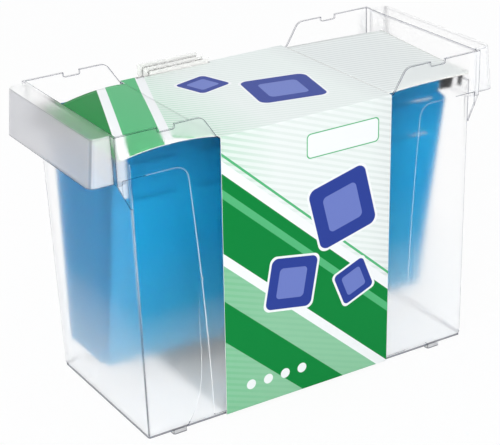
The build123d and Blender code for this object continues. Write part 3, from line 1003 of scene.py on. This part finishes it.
@dataclass
class CardSleeve:
    """The printed card loop round the box and its two top flaps, in millimetres.

    The loop has its corners at the low and top heights, and a slot for the label tabs in its
    top. A flap, or wing, tapers at the back. Its rise grows in over the first ramp_share of its
    length.
    """

    width: float = 165.0
    thickness: float = 0.6
    low: float = 3.4
    top: float = 253.6
    front_low: float = -81.0
    front_top: float = -84.35
    back_low: float = 81.0
    back_top: float = 88.43
    fold_radius: float = 0.9
    shift_top: float = -0.4
    shift_low: float = -5.0
    slot_x: Pair = (-68.1, 5.5)
    slot_y: Pair = (83.8, 87.5)
    margin: float = 0.01
    wing_start: float = 82.8
    wing_end: float = 170.0
    wing_front: float = -79.1
    wing_taper: float = 27.0
    wing_fold: float = 1.5
    ramp_share: float = 1 / 12
    left_form: FlapForm = FlapForm(3.6, -1.5, 2.0, back_corner=False)
    right_form: FlapForm = FlapForm(1.2, 6.0, 1.5, back_corner=True)
    grid_points: int = 31
    run_points: int = 26
    turn_points: int = 6
    body: str = "box_and_sleeve"

    def loop(self) -> tuple[np.ndarray, np.ndarray, np.ndarray]:
        """Path of the card's middle round the box.

        Four straight runs joined by turns of the fold radius, with points at equal steps along
        each run and each turn.

        Returns:
            Points in Y and Z, outward normals, and the distance round the loop at each point.
        """
        corners = np.array(
            [
                (self.front_low, self.low),
                (self.front_top, self.top),
                (self.back_top, self.top),
                (self.back_low, self.low),
            ]
        )
        points, normals = [], []
        for k in range(4):
            before, here, after = corners[k - 1], corners[k], corners[(k + 1) % 4]
            into = (here - before) / np.linalg.norm(here - before)
            away = (after - here) / np.linalg.norm(after - here)
            angle = math.acos(float(np.clip(into @ away, -1, 1)))
            inset = self.fold_radius * math.tan(angle / 2)
            left_in, left_out = np.array([-into[1], into[0]]), np.array([-away[1], away[0]])
            share = np.linspace(0, 1, self.turn_points)[:, None]
            turned = left_in * np.cos(share * angle) + into * np.sin(share * angle)
            centre = here - into * inset - left_in * self.fold_radius
            points.append(centre + turned * self.fold_radius)
            normals.append(turned)
            start, stop = here + away * inset, after - away * inset
            steps = self.run_steps(k, start, stop)
            points.append(start + (stop - start) * steps[:, None])
            normals.append(np.repeat(left_out[None], len(steps), axis=0))
        path, outward = np.concatenate(points), np.concatenate(normals)
        gaps = np.linalg.norm(np.diff(path, axis=0), axis=1)
        return path, outward, np.concatenate([[0], np.cumsum(gaps)])

    def run_steps(self, run: int, start: np.ndarray, stop: np.ndarray) -> np.ndarray:
        """Where along a straight run the loop has points.

        The top, which is run 1, has them at both sides of the slot in place of those past it.

        Args:
            run: number of the run.
            start: its first point in Y and Z.
            stop: its last one.

        Returns:
            Shares of the run, in rising order.
        """
        steps = np.linspace(0, 1, self.run_points)[1:-1]
        if run == 1:
            at_slot = (np.array(self.slot_y) - start[0]) / (stop[0] - start[0])
            steps = np.sort(np.concatenate([steps[steps < at_slot[0] - self.margin], at_slot]))
        return steps

    def wrap(self) -> bpy.types.Object:
        """Builds the loop.

        Across the sleeve the points are even, with two more at the slot's ends. The whole loop
        shears sideways in proportion to how far down it is.

        Returns:
            The loop, with a hole where the slot is.
        """
        path, outward, distance = self.loop()
        even = np.linspace(-self.width / 2, self.width / 2, self.grid_points)
        across = np.unique(np.concatenate([even, self.slot_x]))
        down = (self.top - path[:, 1]) / (self.top - self.low)
        shift = self.shift_top + (self.shift_low - self.shift_top) * np.clip(down, 0, 1)
        shape = (len(path), len(across))
        middle, normal = np.empty((*shape, 3)), np.zeros((*shape, 3))
        middle[..., 0] = across[None, :] + shift[:, None]
        middle[..., 1:] = path[:, None]
        normal[..., 1:] = outward[:, None]
        uv = np.stack(
            [np.broadcast_to(across, shape), np.broadcast_to(distance[:, None], shape)], axis=-1
        )
        cell_y, cell_z = ((path + np.roll(path, -1, axis=0)) / 2).T
        cell_x = (across[1:] + across[:-1]) / 2
        on_top = cell_z > self.top - self.margin
        in_y = on_top & (cell_y > self.slot_y[0]) & (cell_y < self.slot_y[1])
        in_x = (cell_x > self.slot_x[0]) & (cell_x < self.slot_x[1])
        return sheet_solid(
            "sleeve_card_wrap",
            middle * MM,
            normal,
            uv * MM,
            self.thickness * MM,
            closed=True,
            missing=in_y[:, None] & in_x[None, :],
        )

    def wing(self, side: Side) -> bpy.types.Object:
        """Builds one flap.

        A ruled sheet in plan, from the fold outwards and from the front edge to the slanting
        back edge. It rises over its fold by four times the arch times the share of the way out
        times the share left, plus the lift times a power of the shares towards the corner.

        Args:
            side: the end of the sleeve that it is on.

        Returns:
            The flap, closed as it is at rest.
        """
        shares = np.linspace(0, 1, self.grid_points)
        out, back = np.meshgrid(shares, shares, indexing="ij")
        x = self.wing_start + out * (self.wing_end - self.wing_start)
        back_edge = -self.wing_front - self.wing_taper * out
        y = self.wing_front + back * (back_edge - self.wing_front)
        form = self.left_form if side is Side.LEFT else self.right_form
        corner = out * (back if form.back_corner else 1 - back)
        rise = form.arch * 4 * out * (1 - out) + form.lift * corner**form.power
        z = self.top + rise * np.clip(out / self.ramp_share, 0, 1)
        middle = np.stack([side.value * x, y, z], axis=-1)
        normal = np.cross(np.gradient(middle, axis=0), np.gradient(middle, axis=1))
        normal *= np.sign(normal[..., 2:]) / np.linalg.norm(normal, axis=-1, keepdims=True)
        front_run = math.hypot(self.front_top - self.front_low, self.top - self.low)
        round_loop = front_run - self.fold_radius + (y - self.front_top)
        uv = np.stack([side.value * x, round_loop], axis=-1)
        return sheet_solid(
            f"sleeve_{side.name.lower()}_flap", middle * MM, normal, uv * MM, self.thickness * MM
        )

    def build(self) -> None:
        """Builds and dresses the loop and the flaps."""
        print_face, core = PrintedBoard().material(), CardCore().material()
        wrap = self.wrap()
        dress(wrap, print_face, core)
        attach(wrap, self.body)
        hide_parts("sleeve_wrap")
        LOG.info("built %s", wrap.name)
        for side in Side:
            flap = self.wing(side)
            dress(flap, print_face, core)
            slots = np.zeros(len(flap.data.polygons), np.int32)
            flap.data.polygons.foreach_get("material_index", slots)
            flap.data.polygons.foreach_set("use_smooth", slots == 0)
            node = f"sleeve_{side.name.lower()}_wing"
            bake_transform(flap)
            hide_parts(node)
            LOG.info("built %s", flap.name)


@dataclass
class FileBox:
    """The clear moulded box, which is the CAD node with its frosted finish."""

    nodes: dict[str, bpy.types.Object]

    def build(self) -> None:
        """Dresses the box."""
        dress(self.nodes["box"], FrostedPolystyrene().material())
        LOG.info("dressed box")


@dataclass
class HangingFiles:
    """The five files: two card panels each, with a steel bar and a pair of hooks per panel."""

    nodes: dict[str, bpy.types.Object]
    count: int = 5

    def build(self) -> None:
        """Dresses the files' CAD nodes."""
        finishes = {
            "sheet": DyedCard().material(),
            "bar": ZincSteel().material(),
            "hooks": BlackPolypropylene().material(),
        }
        for number in range(1, self.count + 1):
            for place in ("back", "front"):
                for part, material in finishes.items():
                    dress(self.nodes[f"file_{number}_{place}_{part}"], material)
            LOG.info("dressed file %d", number)


@dataclass
class LabelTabs:
    """The clear tabs with their paper strips."""

    nodes: dict[str, bpy.types.Object]
    count: int = 3

    def build(self) -> None:
        """Dresses the tabs' CAD nodes."""
        vinyl, paper = ClearVinyl().material(), LabelPaper().material()
        for number in range(1, self.count + 1):
            dress(self.nodes[f"label_tab_{number}"], vinyl)
            dress(self.nodes[f"label_insert_{number}"], paper)
            LOG.info("dressed label tab %d", number)


@dataclass(frozen=True)
class Softbox:
    """A square soft light, with its place and side in metres and its power in watts."""

    name: str
    place: Triple
    side: float
    power: float

    def build(self, aim: Vector) -> None:
        """Places the light and points it.

        Args:
            aim: the point that it shines at, in metres.
        """
        data = bpy.data.lights.new(self.name, "AREA")
        data.shape = "SQUARE"
        data.size = self.side
        data.energy = self.power
        lamp = bpy.data.objects.new(self.name, data)
        bpy.context.scene.collection.objects.link(lamp)
        lamp.location = self.place
        lamp.rotation_mode = "QUATERNION"
        lamp.rotation_quaternion = (aim - Vector(self.place)).to_track_quat("-Z", "Y")


@dataclass
class Studio:
    """White sweep, soft lights and the camera at the photograph's angle.

    Angles are in degrees, the camera's distance, target and sensor in millimetres, and the
    clip, the floor and the lights' aim in metres.
    """

    azimuth: float = -30.416
    elevation: float = 23.668
    roll: float = -2.309
    distance: float = 1441.54
    target: Triple = (-10.46, 0.0, 131.56)
    focal_pixels: float = 1647.88
    centre_pixels: Pair = (249.26, 223.01)
    frame_pixels: Pair = (500.0, 445.0)
    sensor: float = 36.0
    clip: Pair = (0.05, 20.0)
    floor_half: float = 14.0
    room_light: str = "#d8dbe0"
    room_seen: str = "#ffffff"
    aim: Triple = (0.0, 0.0, 0.13)
    softboxes: tuple[Softbox, ...] = (
        Softbox("key_softbox", (-1.5, -1.1, 0.9), 1.4, 20.0),
        Softbox("fill_softbox", (1.4, -1.5, 0.9), 1.2, 5.0),
        Softbox("top_softbox", (0.1, 0.3, 1.9), 1.2, 4.0),
    )

    def camera(self) -> None:
        """Places the camera on its orbit round the target, turned by the roll."""
        a, e = math.radians(self.azimuth), math.radians(self.elevation)
        back = Vector((math.sin(a) * math.cos(e), -math.cos(a) * math.cos(e), math.sin(e)))
        right = (-back).cross(Vector((0, 0, 1))).normalized()
        up = right.cross(-back)
        c, s = math.cos(math.radians(self.roll)), math.sin(math.radians(self.roll))
        right, up = right * c + up * s, up * c - right * s
        data = bpy.data.cameras.new("photo_camera")
        camera = bpy.data.objects.new("photo_camera", data)
        bpy.context.scene.collection.objects.link(camera)
        turn = Matrix((right, up, back)).transposed().to_4x4()
        place = (Vector(self.target) + back * self.distance) * MM
        camera.matrix_world = Matrix.Translation(place) @ turn
        width, height = self.frame_pixels
        data.sensor_width = self.sensor
        data.lens = self.focal_pixels / width * self.sensor
        data.shift_x = (width / 2 - self.centre_pixels[0]) / width
        data.shift_y = (self.centre_pixels[1] - height / 2) / width
        data.clip_start, data.clip_end = self.clip
        bpy.context.scene.camera = camera

    def world(self) -> None:
        """A white room."""
        world = bpy.data.worlds.new("white_room")
        bpy.context.scene.world = world
        world.use_nodes = True
        tree = world.node_tree
        tree.nodes.clear()
        lit, seen = linear(self.room_light), linear(self.room_seen)
        shades = {SHARE: white_to_eye(tree), UNDER: lit, OVER: seen}
        colour = add_node(tree, "Mix", shades, MIXED, data_type="RGBA")
        light = add_node(tree, "Background", {"Color": colour, "Strength": 1.0})
        add_node(tree, "OutputWorld", {"Surface": light})

    def floor(self) -> None:
        """A white floor that keeps a soft shadow under the box."""
        points = self.floor_half * np.array([(-1, -1, 0), (1, -1, 0), (1, 1, 0), (-1, 1, 0)])
        floor = make_piece("floor", points, np.array([[0, 1, 2, 3]]), points[:, :2], np.zeros(1))
        dress(floor, WhiteSweep().material())

    def build(self) -> None:
        """Builds the stage, the lights and the camera."""
        self.floor()
        self.world()
        for softbox in self.softboxes:
            softbox.build(Vector(self.aim))
        self.camera()
        bpy.context.scene.view_settings.view_transform = "Standard"
        LOG.info("built studio")


def main() -> None:
    """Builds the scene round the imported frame."""
    logging.basicConfig(level=logging.INFO, format="%(name)s: %(message)s")
    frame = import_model()
    nodes = frame["nodes"]
    FileBox(nodes).build()
    HangingFiles(nodes).build()
    LabelTabs(nodes).build()
    CardSleeve().build()
    Studio().build()


if __name__ == "__main__":
    main()
